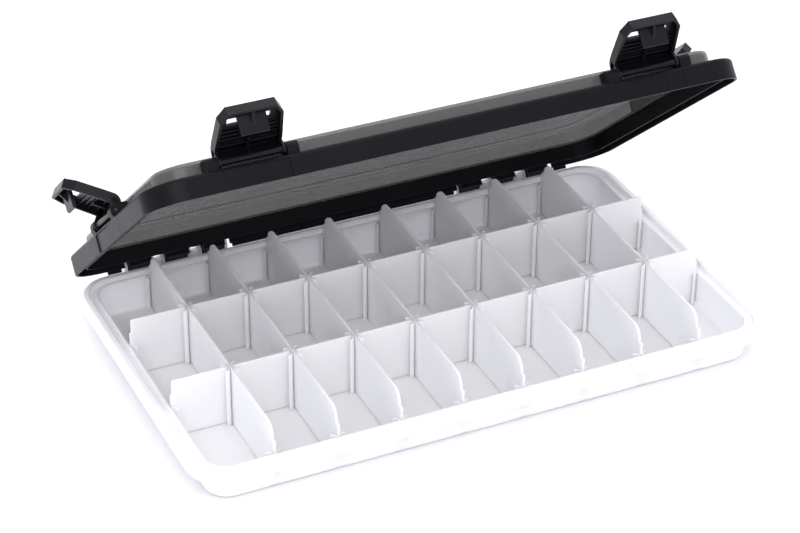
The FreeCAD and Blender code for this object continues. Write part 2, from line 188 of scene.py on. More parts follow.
# --- Tray ---------------------------------------------------------------------------
# The white tray is one injection moulding in polypropylene: an open body, a rim with
# a seal groove in a raised lip, slots for the divider ends and the ears of the hinge.
column_pitch = 37.0 * mm
row_pitch = 65.0 * mm
columns = 9
rows = 3
wall = 1.5 * mm
body_x = columns * column_pitch / 2
body_y = rows * row_pitch / 2
body_corner = 14.0 * mm
inner_x = body_x - wall
inner_y = body_y - wall
tray_floor = 1.5 * mm
lip_in_x = body_x + 3.7 * mm
lip_in_y = body_y + 2.0 * mm
lip_in_corner = body_corner + 2.0 * mm
lip_out_x = lip_in_x + 4.1 * mm
lip_out_y = lip_in_y + 3.5 * mm
lip_out_corner = lip_in_corner + 3.5 * mm
rim_x = lip_out_x + 1.9 * mm
rim_y = lip_out_y + 2.6 * mm
rim_corner = lip_out_corner + 1.9 * mm
flange_top = 19.2 * mm
flange_under = 17.2 * mm
hollow_top = 19.7 * mm
lip_top = 24.0 * mm
groove_floor = 21.2 * mm
bead_top = 22.2 * mm
column_lines = [column_pitch * (i - columns / 2) for i in range(1, columns)]
row_lines = [row_pitch * (i - rows / 2) for i in range(1, rows)]

# How close two points count as one, and how near a height counts as that height.
weld = 0.001 * mm
level_with = 0.01 * mm
crease_angle = radians(50)


def soften(shape, edges, size, steps=3):
    """Rounds edges over."""
    bmesh.ops.bevel(shape, geom=list(edges), offset=size, offset_type="OFFSET", segments=steps,
                    profile=0.5, affect="EDGES", material=-1, clamp_overlap=True)


def sharp_edges(shape, limit=radians(28)):
    return [e for e in shape.edges if e.is_manifold and e.calc_face_angle() > limit]


def rounded_loop(shape, half_x, half_y, corner, height, keep_face=False, steps=14):
    """A level rectangle with round corners: a loop of edges, or a face as well."""
    size = Matrix.Diagonal((2 * half_x, 2 * half_y, 1, 1))
    made = bmesh.ops.create_grid(shape, x_segments=1, y_segments=1, size=0.5,
                                 matrix=Matrix.Translation((0, 0, height)) @ size)
    made = bmesh.ops.bevel(shape, geom=made["verts"], offset=corner, offset_type="OFFSET",
                           segments=steps, profile=0.5, affect="VERTICES", material=-1)
    edges = list({e for v in made["verts"] for e in v.link_edges})
    if not keep_face:
        faces = list({f for e in edges for f in e.link_faces})
        bmesh.ops.delete(shape, geom=faces, context="FACES_ONLY")
    return edges


def loft(shape, loops, closed=False):
    """Skins a row of loops one to the next. The next loop is lifted well clear while the
    skin is made, so that two loops at one height pair up corner to corner."""
    lift = 0.5
    for lower, upper in zip(loops, loops[1:] + loops[:1] if closed else loops[1:]):
        points = list({v for e in upper for v in e.verts})
        bmesh.ops.translate(shape, verts=points, vec=(0, 0, lift))
        bmesh.ops.bridge_loops(shape, edges=lower + upper)
        bmesh.ops.translate(shape, verts=points, vec=(0, 0, -lift))


def add(target, part, place):
    """Puts a copy of one shape into another."""
    scratch = bpy.data.meshes.new("scratch")
    part.to_mesh(scratch)
    scratch.transform(place)
    target.from_mesh(scratch)
    bpy.data.meshes.remove(scratch)


def cut_out(outline, rounds, depth, soft, holes=()):
    """A plate cut to an outline in XY and drawn out along Z. rounds gives the radius of
    each rounded corner by its number; holes are (x, y, radius)."""
    plate = bmesh.new()
    corners = [plate.verts.new((x, y, 0)) for x, y in outline]
    plate.faces.new(corners)
    for number, radius in rounds.items():
        bmesh.ops.bevel(plate, geom=[corners[number]], offset=radius, offset_type="OFFSET",
                        segments=10, profile=0.5, affect="VERTICES", material=-1)
    if holes:
        bmesh.ops.delete(plate, geom=plate.faces[:], context="FACES_ONLY")
        for x, y, radius in holes:
            bmesh.ops.create_circle(plate, segments=24, radius=radius, matrix=Matrix.Translation((x, y, 0)))
        bmesh.ops.triangle_fill(plate, use_beauty=True, edges=plate.edges[:])
    drawn = bmesh.ops.extrude_face_region(plate, geom=plate.faces[:])
    bmesh.ops.translate(plate, verts=[v for v in drawn["geom"] if isinstance(v, bmesh.types.BMVert)],
                        vec=(0, 0, depth))
    bmesh.ops.recalc_face_normals(plate, faces=plate.faces)
    if soft:
        soften(plate, sharp_edges(plate), soft, 2)
    return plate


def turned(axis, degrees):
    return Matrix.Rotation(radians(degrees), 4, axis)


def shifted(x, y, z):
    return Matrix.Translation((x, y, z))


STANDING_X = turned("X", 90)            # an XY outline stands in XZ, drawn out towards -Y
STANDING_Y = turned("Z", 90) @ STANDING_X  # an XY outline stands in YZ, drawn out towards +X


def piece(shape, name, material, body, slot, *nodes):
    """Closes a shape as a finished piece that rides on a body and stands for CAD nodes."""
    bmesh.ops.recalc_face_normals(shape, faces=shape.faces)
    for face in shape.faces:
        face.smooth = True
    for edge in shape.edges:
        edge.smooth = not edge.is_manifold or edge.calc_face_angle() < crease_angle
    mesh = bpy.data.meshes.new(name)
    shape.to_mesh(mesh)
    shape.free()
    mesh.materials.append(material)
    made = bpy.data.objects.new(name, mesh)
    bpy.context.scene.collection.objects.link(made)
    flatten = made.modifiers.new("level_faces", "WEIGHTED_NORMAL")
    flatten.keep_sharp = True
    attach(made, body)
    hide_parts(*nodes)
    return made


# The prongs of a slot stand in pairs and curl apart, so that a plate slides in easily.
prong_gap = 0.9 * mm
prong_wall = 1.15 * mm
prong_straight = 1.0 * mm
prong_curl = 2.6 * mm
prong_turn = 110
prong_root = 0.3 * mm


def prong_pair(low, high):
    """Two upright prongs that reach towards +Y."""
    pair = bmesh.new()
    for side in (-1, 1):
        prong = bmesh.new()
        near = prong.verts.new((side * prong_gap, -prong_root, low))
        far = prong.verts.new((side * (prong_gap + prong_wall), -prong_root, low))
        edge = prong.edges.new((near, far))
        drawn = bmesh.ops.extrude_edge_only(prong, edges=[edge])["geom"]
        ends = [v for v in drawn if isinstance(v, bmesh.types.BMVert)]
        bmesh.ops.translate(prong, verts=ends, vec=(0, prong_root + prong_straight, 0))
        tip = [e for e in drawn if isinstance(e, bmesh.types.BMEdge) and len(e.link_faces) == 1
               and all(v in ends for v in e.verts)]
        centre = (side * (prong_gap + prong_curl), prong_straight, low)
        bmesh.ops.spin(prong, geom=tip + ends, cent=centre, axis=(0, 0, 1),
                       angle=-side * radians(prong_turn), steps=5)
        bmesh.ops.remove_doubles(prong, verts=prong.verts, dist=weld)
        drawn = bmesh.ops.extrude_face_region(prong, geom=prong.faces[:])["geom"]
        bmesh.ops.translate(prong, verts=[v for v in drawn if isinstance(v, bmesh.types.BMVert)],
                            vec=(0, 0, high - low))
        bmesh.ops.recalc_face_normals(prong, faces=prong.faces)
        soften(prong, sharp_edges(prong), 0.3 * mm, 2)
        add(pair, prong, Matrix())
        prong.free()
    return pair


def moulded_plastic(name, deep, pale, roughness, scatter=0.0, grain=0.35, painted_edge_highlight=0.0, gloss=0.5):
    """Injection-moulded plastic: cloudy colour, flow lines, a fine grain, hair scratches
    and edges rubbed a little smoother, with a painted highlight that makes them paler."""
    paint = Shader(name)
    cloud = paint.noise(45 * mm, 3.0)
    flow = paint.noise(9 * mm, 2.0, stretch=(0.12, 1.0, 1.0), turn=(0, 0, 0.2))
    specks = paint.ramp(paint.noise(0.5 * mm, 1.0), 0.60, 0.72)
    scratch_one = paint.noise(0.45 * mm, 0.0, stretch=(0.02, 1.0, 1.0), turn=(0.1, 0.05, 0.7))
    scratch_two = paint.noise(0.5 * mm, 0.0, stretch=(1.0, 0.02, 1.0), turn=(0.15, 0.1, 0.35))
    patches = paint.ramp(paint.noise(22 * mm, 1.0), 0.48, 0.66)
    scratches = (paint.ramp(scratch_one, 0.66, 0.74) + paint.ramp(scratch_two, 0.68, 0.76)) * patches
    normal = paint.node("NewGeometry", {}, output="Normal")
    round_normal = paint.node("Bevel", {"Radius": 0.5 * mm}, samples=4)
    facing = paint.node("VectorMath", {0: normal, 1: round_normal}, output="Value", operation="DOT_PRODUCT")
    edge = paint.ramp(1 - facing, 0.01, 0.16)
    # Along the rounded edges the plastic is rubbed a little smoother, and a painted highlight lifts its
    # colour paler there.
    edge_wear_and_highlight = edge * paint.ramp(paint.noise(3.0 * mm, 3.0), 0.30, 0.62)
    shade = paint.blend(cloud * 0.7 + flow * 0.3, deep, pale)
    highlight_colour = [min(1.0, c + painted_edge_highlight) for c in pale]
    shade = paint.blend(edge_wear_and_highlight, shade, highlight_colour)
    rough = cloud * 0.12 + flow * 0.08 + specks * 0.06 + scratches * 0.12 + (roughness - 0.1) - edge_wear_and_highlight * 0.05
    height = paint.noise(0.35 * mm, 2.0) * grain + paint.noise(2.2 * mm, 1.0) * 0.5 - scratches * 0.5
    relief = paint.node("Bump", {"Strength": 0.35, "Distance": 0.04 * mm, "Height": height})
    return paint.finish(paint.node("BsdfPrincipled", {
        "Base Color": shade, "Roughness": rough, "Normal": relief, "IOR": 1.49,
        "Specular IOR Level": gloss, "Subsurface Weight": scatter,
        "Subsurface Radius": (1.0, 1.0, 1.1), "Subsurface Scale": 3.5 * mm}))


tray_white = moulded_plastic("white_polypropylene", (0.93, 0.93, 0.955), (0.965, 0.965, 0.98), 0.36,
                             scatter=0.7)

hinge_y = frame["joints"][0]["pos_m"][1]
hinge_z = frame["joints"][0]["pos_m"][2]
hinge_radius = 4.2 * mm
hinge_centre_x = 108.5 * mm
barrel_pitch = 23.3 * mm
barrel_width = 13.8 * mm
hinge_gap = 0.35 * mm
ear_thick = 2.0 * mm
hinge_pin_radius = 1.3 * mm
pin_clear = 0.05 * mm

tray = bmesh.new()
under = rounded_loop(tray, body_x, body_y, body_corner, 0, keep_face=True)
body_high = rounded_loop(tray, body_x, body_y, body_corner, hollow_top)
hollow_margin = 1.5 * mm
hollow_x = lip_out_x - hollow_margin
hollow_y = lip_out_y - hollow_margin
hollow_corner = lip_out_corner - hollow_margin
hollow_high = rounded_loop(tray, hollow_x, hollow_y, hollow_corner, hollow_top)
hollow_low = rounded_loop(tray, hollow_x, hollow_y, hollow_corner, flange_under)
rim_low = rounded_loop(tray, rim_x, rim_y, rim_corner, flange_under)
rim_high = rounded_loop(tray, rim_x, rim_y, rim_corner, flange_top)
lip_foot = rounded_loop(tray, lip_out_x, lip_out_y, lip_out_corner, flange_top)
lip_outer = rounded_loop(tray, lip_out_x, lip_out_y, lip_out_corner, lip_top)
lip_inner = rounded_loop(tray, lip_in_x, lip_in_y, lip_in_corner, lip_top)
groove_out = rounded_loop(tray, lip_in_x, lip_in_y, lip_in_corner, groove_floor)
groove_in = rounded_loop(tray, body_x, body_y, body_corner, groove_floor)
bead_out = rounded_loop(tray, body_x, body_y, body_corner, bead_top)
bead_in = rounded_loop(tray, inner_x, inner_y, body_corner - wall, bead_top)
inside = rounded_loop(tray, inner_x, inner_y, body_corner - wall, tray_floor, keep_face=True)
loft(tray, [under, body_high, hollow_high, hollow_low, rim_low, rim_high, lip_foot, lip_outer,
            lip_inner, groove_out, groove_in, bead_out, bead_in, inside])
bmesh.ops.recalc_face_normals(tray, faces=tray.faces)
for loop, size in ((under, 5.0), (inside, 2.5), (lip_outer, 0.9), (lip_inner, 0.6), (rim_low, 0.7),
                   (rim_high, 0.7), (lip_foot, 0.5), (groove_out, 0.5), (groove_in, 0.4),
                   (bead_out, 0.5), (bead_in, 0.5), (hollow_low, 0.3), (hollow_high, 0.4)):
    soften(tray, loop, size * mm, 6 if size > 2 else 3)

wall_slot = prong_pair(tray_floor, bead_top)
for x in column_lines:
    add(tray, wall_slot, shifted(x, -inner_y, 0))
    add(tray, wall_slot, shifted(x, inner_y, 0) @ turned("Z", 180))
for y in row_lines:
    add(tray, wall_slot, shifted(-inner_x, y, 0) @ turned("Z", -90))
    add(tray, wall_slot, shifted(inner_x, y, 0) @ turned("Z", 90))
wall_slot.free()

ear_root = rim_y - 2.6 * mm
ear = cut_out([(ear_root, flange_under), (hinge_y + hinge_radius, flange_under),
               (hinge_y + hinge_radius, hinge_z + hinge_radius),
               (hinge_y - hinge_radius, hinge_z + hinge_radius),
               (hinge_y - hinge_radius, flange_top), (ear_root, flange_top)],
              {2: hinge_radius * 0.99, 3: hinge_radius * 0.99}, ear_thick, 0.35 * mm,
              [(hinge_y, hinge_z, hinge_pin_radius)])
bridge_half = (barrel_pitch - barrel_width) / 2 - hinge_gap
bridge_top = hinge_z + hinge_radius * 0.45
bridge_step = 0.3 * mm
bridge = cut_out([(ear_root, flange_under), (hinge_y + hinge_radius - bridge_step, flange_under),
                  (hinge_y + hinge_radius - bridge_step, flange_top), (hinge_y, flange_top),
                  (hinge_y, bridge_top), (hinge_y - hinge_radius + bridge_step, bridge_top),
                  (hinge_y - hinge_radius + bridge_step, flange_top), (ear_root, flange_top)],
                 {}, 2 * bridge_half - ear_thick, 0.3 * mm)
ear_reach = barrel_pitch + barrel_width / 2 + hinge_gap
for centre in (-hinge_centre_x, hinge_centre_x):
    starts = [-ear_reach - ear_thick, ear_reach]
    for side in (-1, 1):
        middle = side * barrel_pitch / 2
        starts += [middle - bridge_half, middle + bridge_half - ear_thick]
        add(tray, bridge, shifted(centre + middle - bridge_half + ear_thick / 2, 0, 0) @ STANDING_Y)
    for start in starts:
        add(tray, ear, shifted(centre + start, 0, 0) @ STANDING_Y)
ear.free()
bridge.free()
piece(tray, "tray", tray_white, "tray", "tray_white", "tray_base")

# --- Dividers -----------------------------------------------------------------------
# Two long plates and 24 short ones, moulded apart in the same white plastic. They slide
# down into the slots, and their ends step in above the rim to clear the lid.
divider_top = 38.5 * mm
divider_thick = 1.5 * mm
slot_clear = 0.15 * mm
divider_low = tray_floor + slot_clear
wall_gap = 0.2 * mm
end_step = 29.6 * mm
upper_x = 163.8 * mm
upper_y = 93.2 * mm
divider_edge = 0.4 * mm
foot_round = 2.5 * mm
long_top_round = 1.5 * mm
short_top_round = 8.0 * mm
prong_drop = 0.2 * mm
divider_white = moulded_plastic("white_divider_polypropylene", (0.94, 0.94, 0.965), (0.97, 0.97, 0.985),
                                0.40, scatter=0.85)

hub_slot = prong_pair(divider_low, divider_top - prong_drop)
reach_x = inner_x - wall_gap
for label, y in zip(("front", "rear"), row_lines):
    plate = cut_out([(-reach_x, divider_low), (reach_x, divider_low), (reach_x, end_step),
                     (upper_x, end_step), (upper_x, divider_top), (-upper_x, divider_top),
                     (-upper_x, end_step), (-reach_x, end_step)],
                    {0: foot_round, 1: foot_round, 4: long_top_round, 5: long_top_round},
                    divider_thick, divider_edge)
    divider = bmesh.new()
    add(divider, plate, shifted(0, y + divider_thick / 2, 0) @ STANDING_X)
    plate.free()
    for x in column_lines:
        add(divider, hub_slot, shifted(x, y + divider_thick / 2, 0))
        add(divider, hub_slot, shifted(x, y - divider_thick / 2, 0) @ turned("Z", 180))
    piece(divider, "long_divider_%s_plate" % label, divider_white, "tray", "divider_white",
          "long_divider_%s" % label)
hub_slot.free()

reach_y = inner_y - wall_gap
for row, label in enumerate(("front", "middle", "rear")):
    middle = row_pitch * (row - 1)
    half = row_pitch / 2 - divider_thick / 2 - slot_clear
    if row == 1:
        outline = [(-half, divider_low), (half, divider_low), (half, divider_top), (-half, divider_top)]
        rounds = {}
    else:
        plain = middle - half if row == 2 else -middle - half
        outline = [(plain, divider_low), (reach_y, divider_low), (reach_y, end_step),
                   (upper_y, end_step), (upper_y, divider_top), (plain, divider_top)]
        rounds = {1: foot_round, 4: short_top_round}
    plate = cut_out(outline, rounds, divider_thick, divider_edge)
    for number, x in enumerate(column_lines, 1):
        divider = bmesh.new()
        facing_wall = STANDING_Y if row else turned("Z", 180) @ STANDING_Y
        offset = -divider_thick / 2 if row else divider_thick / 2
        add(divider, plate, shifted(x + offset, 0, 0) @ facing_wall)
        name = "cross_divider_%s_%d" % (label, number)
        piece(divider, name + "_plate", divider_white, "tray", "divider_white", name)
    plate.free()

# --- Lid frame ----------------------------------------------------------------------
# The frame of the lid is moulded in black polypropylene: a skirt with a rounded top
# edge, a ledge round the window, a seal rib inside, a hinge rail with six barrels, and
# a pair of knuckles for each latch. It is drawn shut and then swung open.
skirt_bottom = flange_top + 0.3 * mm
skirt_top = skirt_bottom + 12.3 * mm
ledge_under = skirt_top - 1.5 * mm
skirt_wall = 1.5 * mm
edge_round = 2.2 * mm
ledge_width = 10.407 * mm
window_x = rim_x - ledge_width
window_y = rim_y - ledge_width
window_corner = body_corner + 2.0 * mm
pivot_in = 3.3 * mm
knuckle_radius = 3.3 * mm
knuckle_width = 6.5 * mm
latch_half = 18.8 * mm
latch_gap = 0.4 * mm
latch_pin_radius = 1.1 * mm
latch_centre_x = 117.0 * mm
pivot_z = skirt_top + 3.4 * mm
recess_depth = 0.35 * mm
recess_strip = 11.0 * mm
joints = {joint["name"]: joint for joint in frame["joints"]}
hinge = joints["lid_hinge"]
hinge_place = Vector(hinge["pos_m"])
lid_turn = Matrix.Rotation(radians(-hinge["range_deg"][0]), 4, Vector(hinge["axis"]))
lid_open = Matrix.Translation(hinge_place) @ lid_turn @ Matrix.Translation(-hinge_place)
# The frame's edges get a faint painted highlight.
frame_black = moulded_plastic("black_frame_polypropylene", (0.004, 0.004, 0.005), (0.008, 0.008, 0.010),
                              0.34, grain=0.6, painted_edge_highlight=0.010, gloss=0.10)

lid = bmesh.new()
skirt_low = rounded_loop(lid, rim_x, rim_y, rim_corner, skirt_bottom)
skirt_high = rounded_loop(lid, rim_x, rim_y, rim_corner, skirt_top)
ledge_high = rounded_loop(lid, window_x, window_y, window_corner, skirt_top)
ledge_low = rounded_loop(lid, window_x, window_y, window_corner, ledge_under)
skirt_in = (rim_x - skirt_wall, rim_y - skirt_wall, rim_corner - skirt_wall)
inner_high = rounded_loop(lid, *skirt_in, ledge_under)
inner_low = rounded_loop(lid, *skirt_in, skirt_bottom)
loft(lid, [skirt_low, skirt_high, ledge_high, ledge_low, inner_high, inner_low], closed=True)
bmesh.ops.recalc_face_normals(lid, faces=lid.faces)
soften(lid, skirt_high, edge_round, 6)
for loop, size in ((skirt_low, 0.35), (ledge_high, 0.3), (inner_high, 0.4), (inner_low, 0.3)):
    soften(lid, loop, size * mm, 2)

notch_top = 26.7 * mm
notch_side = 0.6 * mm
skirt_near = rim_y - skirt_wall - 0.2 * mm
notches = []
for centre in (-hinge_centre_x, hinge_centre_x):
    for side in (-1, 1):
        notches.append((centre + side * (ear_reach + ear_thick / 2), ear_thick / 2 + notch_side))
        notches.append((centre + side * barrel_pitch / 2, bridge_half))


def notch(shape, low, high):
    """Cuts a slot up into the rear skirt so that an ear of the tray can stand in it."""
    def rear(inside=False):
        found = [f for f in shape.faces if f.calc_center_median().y > skirt_near
                 and f.calc_center_median().z < ledge_under
                 and (not inside or low < f.calc_center_median().x < high)]
        return found + list({e for f in found for e in f.edges}) + list({v for f in found for v in f.verts})

    for x in (low, high):
        bmesh.ops.bisect_plane(shape, geom=rear(), plane_co=(x, 0, 0), plane_no=(1, 0, 0), dist=weld)
    bmesh.ops.bisect_plane(shape, geom=rear(True), plane_co=(0, 0, notch_top), plane_no=(0, 0, 1),
                           dist=weld)
    gone = [f for f in shape.faces if low < f.calc_center_median().x < high
            and f.calc_center_median().y > skirt_near
            and f.calc_center_median().z < notch_top]
    bmesh.ops.delete(shape, geom=gone, context="FACES")
    top = [v for v in shape.verts if v.is_boundary and abs(v.co.z - notch_top) < level_with]
    middle = rim_y - skirt_wall / 2
    outer = sorted((v for v in top if v.co.y > middle), key=lambda v: v.co.x)
    inner = sorted((v for v in top if v.co.y < middle), key=lambda v: -v.co.x)
    shape.faces.new(outer + inner)
    bmesh.ops.holes_fill(shape, edges=[e for e in shape.edges if e.is_boundary], sides=0)
    bmesh.ops.recalc_face_normals(shape, faces=shape.faces)


for x, half in notches:
    notch(lid, x - half, x + half)


def recess(shape, across_axis, outward, faces_at, spans):
    """Sinks stretches of one side of the skirt, each a little deeper than the last.
    across_axis runs along the side, outward is its normal, faces_at its distance out."""
    for low, high in spans:
        for cut in (low, high):
            bmesh.ops.bisect_plane(shape, geom=shape.verts[:] + shape.edges[:] + shape.faces[:],
                                   plane_co=across_axis * cut, plane_no=across_axis, dist=weld)
        sunk = [f for f in shape.faces if f.normal.dot(outward) > 0.99
                and abs(f.calc_center_median().dot(outward) - faces_at) < 0.8 * mm
                and low < f.calc_center_median().dot(across_axis) < high]
        bmesh.ops.inset_region(shape, faces=sunk, thickness=0.12 * mm, depth=-recess_depth,
                               use_even_offset=True, use_boundary=True)


half = latch_half + latch_gap
for outward, along, out, centre, deep_end in (
        (Vector((0, -1, 0)), Vector((1, 0, 0)), rim_y, -latch_centre_x, 1),
        (Vector((0, -1, 0)), Vector((1, 0, 0)), rim_y, latch_centre_x, -1),
        (Vector((-1, 0, 0)), Vector((0, 1, 0)), rim_x, 0, 1),
        (Vector((1, 0, 0)), Vector((0, 1, 0)), rim_x, 0, 1)):
    strip = (centre - half, centre + half - recess_strip) if deep_end < 0 else (
        centre - half + recess_strip, centre + half)
    recess(lid, along, outward, out, [(centre - half, centre + half), strip])

rib_gap = 0.4 * mm
rib_x = lip_in_x - rib_gap
rib_y = lip_in_y - rib_gap
rib_corner = lip_in_corner - rib_gap
rib_thick = 1.2 * mm
rib_low = groove_floor + 0.6 * mm
rib_high = ledge_under + 0.3 * mm
rib = bmesh.new()
rib_loops = [rounded_loop(rib, rib_x, rib_y, rib_corner, rib_high),
             rounded_loop(rib, rib_x, rib_y, rib_corner, rib_low),
             rounded_loop(rib, rib_x - rib_thick, rib_y - rib_thick, rib_corner - rib_thick, rib_low),
             rounded_loop(rib, rib_x - rib_thick, rib_y - rib_thick, rib_corner - rib_thick, rib_high)]
loft(rib, rib_loops, closed=True)
bmesh.ops.recalc_face_normals(rib, faces=rib.faces)
for loop in rib_loops[1:3]:
    soften(rib, loop, 0.35 * mm, 2)
add(lid, rib, Matrix())
rib.free()

rail_half = 152.0 * mm
rail_depth = 2.4 * mm
rail_height = 6.8 * mm
rail_top = skirt_top - edge_round
rail_root = rim_y - skirt_wall / 2
rail_face = rim_y + rail_depth
leaf_thick = 1.6 * mm
leaf_bottom = 17.8 * mm
leaf_gap = 2.4 * mm
leaf_overlap = 1.4 * mm
rail_overlap = 0.2 * mm


def rail_length(outline, rounds, low, high):
    """A stretch of the rail, or of the leaf that hangs below it."""
    made = cut_out(outline, rounds, high - low, 0.25 * mm)
    add(lid, made, shifted(low, 0, 0) @ STANDING_Y)
    made.free()


rail_length([(rail_root, notch_top), (rail_face, notch_top), (rail_face, rail_top), (rail_root, rail_top)],
            {2: 1.1 * mm}, -rail_half, rail_half)
rail_ends = sorted([-rail_half, rail_half] + [x + side * half for x, half in notches for side in (-1, 1)])
for low, high in zip(rail_ends[::2], rail_ends[1::2]):
    rail_length([(rail_root, rail_top - rail_height), (rail_face, rail_top - rail_height),
                 (rail_face, notch_top + rail_overlap), (rail_root, notch_top + rail_overlap)],
                {1: 1.2 * mm}, low, high)
near = hinge_centre_x - ear_reach - ear_thick - leaf_gap
far = hinge_centre_x + ear_reach + ear_thick + leaf_gap
for low, high in ((-rail_half, -far), (-near, near), (far, rail_half)):
    rail_length([(rail_face - leaf_thick, leaf_bottom), (rail_face, leaf_bottom),
                 (rail_face, rail_top - rail_height + leaf_overlap),
                 (rail_face - leaf_thick, rail_top - rail_height + leaf_overlap)], {}, low, high)

barrel = cut_out([(rail_root, hinge_z - 1.0 * mm), (hinge_y - hinge_radius * 0.35, hinge_z - hinge_radius),
                  (hinge_y + hinge_radius, hinge_z - hinge_radius),
                  (hinge_y + hinge_radius, hinge_z + hinge_radius * 0.8),
                  (rim_y + rail_depth, rail_top), (rail_root, rail_top)],
                 {1: 1.0 * mm, 2: hinge_radius * 0.98, 3: 2.6 * mm}, barrel_width, 0.3 * mm,
                 [(hinge_y, hinge_z, hinge_pin_radius + pin_clear)])
for centre in (-hinge_centre_x, hinge_centre_x):
    for i in (-1, 0, 1):
        add(lid, barrel, shifted(centre + i * barrel_pitch - barrel_width / 2, 0, 0) @ STANDING_Y)
barrel.free()

knuckle_back = -(ledge_width - pivot_in)
knuckle_foot = -4.1 * mm
knuckle_slope = -2.0 * mm
knuckle = cut_out([(knuckle_back, knuckle_foot), (knuckle_radius - 1.0 * mm, knuckle_foot),
                   (knuckle_radius, knuckle_slope), (knuckle_radius, knuckle_radius),
                   (knuckle_back, knuckle_radius)],
                  {3: knuckle_radius * 0.99, 4: 0.8 * mm}, knuckle_width, 0.4 * mm,
                  [(0, 0, latch_pin_radius)])
sites = {
    "front_left": (Vector((-latch_centre_x, -(rim_y - pivot_in), pivot_z)), -90),
    "front_right": (Vector((latch_centre_x, -(rim_y - pivot_in), pivot_z)), -90),
    "end_left": (Vector((-(rim_x - pivot_in), 0, pivot_z)), 180),
    "end_right": (Vector((rim_x - pivot_in, 0, pivot_z)), 0),
}
for pivot, heading in sites.values():
    for start in (half, -half - knuckle_width):
        add(lid, knuckle, Matrix.Translation(pivot) @ turned("Z", heading)
            @ shifted(0, start + knuckle_width, 0) @ STANDING_X)
knuckle.free()
lid.transform(lid_open)
piece(lid, "lid_frame_shell", frame_black, "lid", "frame_black", "lid_frame")

# --- Window -------------------------------------------------------------------------
# A shallow pan of smoky clear plastic is set into the frame. Its middle is a little
# lower than its border, and it stands just proud of the divider tops when shut.
window_under = divider_top + 0.5 * mm
window_thick = 1.5 * mm
window_top = window_under + window_thick
window_step = 0.9 * mm
window_border = 13.0 * mm


def smoky_plastic():
    """Clear plastic tinted grey-brown, faintly cloudy, with wiped marks and fine scratches."""
    paint = Shader("smoky_window_plastic")
    cloud = paint.noise(60 * mm, 2.0)
    flow = paint.noise(30 * mm, 1.0, stretch=(0.3, 1.0, 1.0), turn=(0, 0, 0.4))
    dust = paint.ramp(paint.noise(0.9 * mm, 1.0), 0.70, 0.80)
    shade = paint.blend(cloud, (0.088, 0.086, 0.081), (0.104, 0.102, 0.096))
    rough = cloud * 0.05 + flow * 0.05 + dust * 0.08 + 0.17
    clear = cloud * 0.04 + dust * 0.02 + 0.74
    relief = paint.node("Bump", {"Strength": 0.04, "Distance": 0.02 * mm, "Height": flow})
    return paint.finish(paint.node("BsdfPrincipled", {
        "Base Color": shade, "Roughness": rough, "Alpha": clear, "Normal": relief, "IOR": 1.49}))


window = bmesh.new()
foot_out = rounded_loop(window, window_x, window_y, window_corner, ledge_under)
top_out = rounded_loop(window, window_x, window_y, window_corner, window_top)
field_x = window_x - window_border
field_y = window_y - window_border
field_high = rounded_loop(window, field_x, field_y, window_corner, window_top)
field_low = rounded_loop(window, field_x, field_y, window_corner, window_top - window_step, keep_face=True)
in_x = window_x - window_thick
in_y = window_y - window_thick
foot_in = rounded_loop(window, in_x, in_y, window_corner - window_thick, ledge_under)
ceiling = rounded_loop(window, in_x, in_y, window_corner - window_thick, window_under, keep_face=True)
loft(window, [ceiling, foot_in, foot_out, top_out, field_high, field_low])
bmesh.ops.recalc_face_normals(window, faces=window.faces)
for loop, size in ((top_out, 2.6), (ceiling, 1.2), (foot_out, 0.2), (foot_in, 0.2),
                   (field_high, 0.4), (field_low, 0.3)):
    soften(window, loop, size * mm, 6 if size > 1 else 2)
window.transform(lid_open)
piece(window, "lid_window_pan", smoky_plastic(), "lid", "window_smoke", "lid_window")

# --- Gasket -------------------------------------------------------------------------
# A soft black rubber ring lies in the channel between the skirt and the seal rib, and
# closes on the lip of the tray.
gasket_gap = 0.35 * mm
gasket_low = lip_top + 0.25 * mm


def soft_rubber():
    """Matt black rubber with a bloom of grey dust."""
    paint = Shader("black_gasket_rubber")
    bloom = paint.ramp(paint.noise(6 * mm, 4.0), 0.42, 0.70)
    shade = paint.blend(bloom, (0.016, 0.016, 0.016), (0.045, 0.045, 0.047))
    rough = bloom * 0.15 + 0.62
    height = paint.noise(0.6 * mm, 3.0)
    relief = paint.node("Bump", {"Strength": 0.5, "Distance": 0.05 * mm, "Height": height})
    return paint.finish(paint.node("BsdfPrincipled", {
        "Base Color": shade, "Roughness": rough, "Normal": relief, "IOR": 1.5}))


gasket = bmesh.new()
loops = []
for x, y, corner in ((rib_x + gasket_gap, rib_y + gasket_gap, lip_in_corner),
                     (rim_x - skirt_wall - gasket_gap, rim_y - skirt_wall - gasket_gap, lip_out_corner)):
    pair = [rounded_loop(gasket, x, y, corner, z) for z in (gasket_low, ledge_under)]
    loops += pair if not loops else pair[::-1]
loft(gasket, loops, closed=True)
bmesh.ops.recalc_face_normals(gasket, faces=gasket.faces)
for loop in (loops[0], loops[3]):
    soften(gasket, loop, 1.2 * mm, 4)
gasket.transform(lid_open)
piece(gasket, "lid_gasket_ring", soft_rubber(), "lid", "gasket_rubber", "lid_gasket")

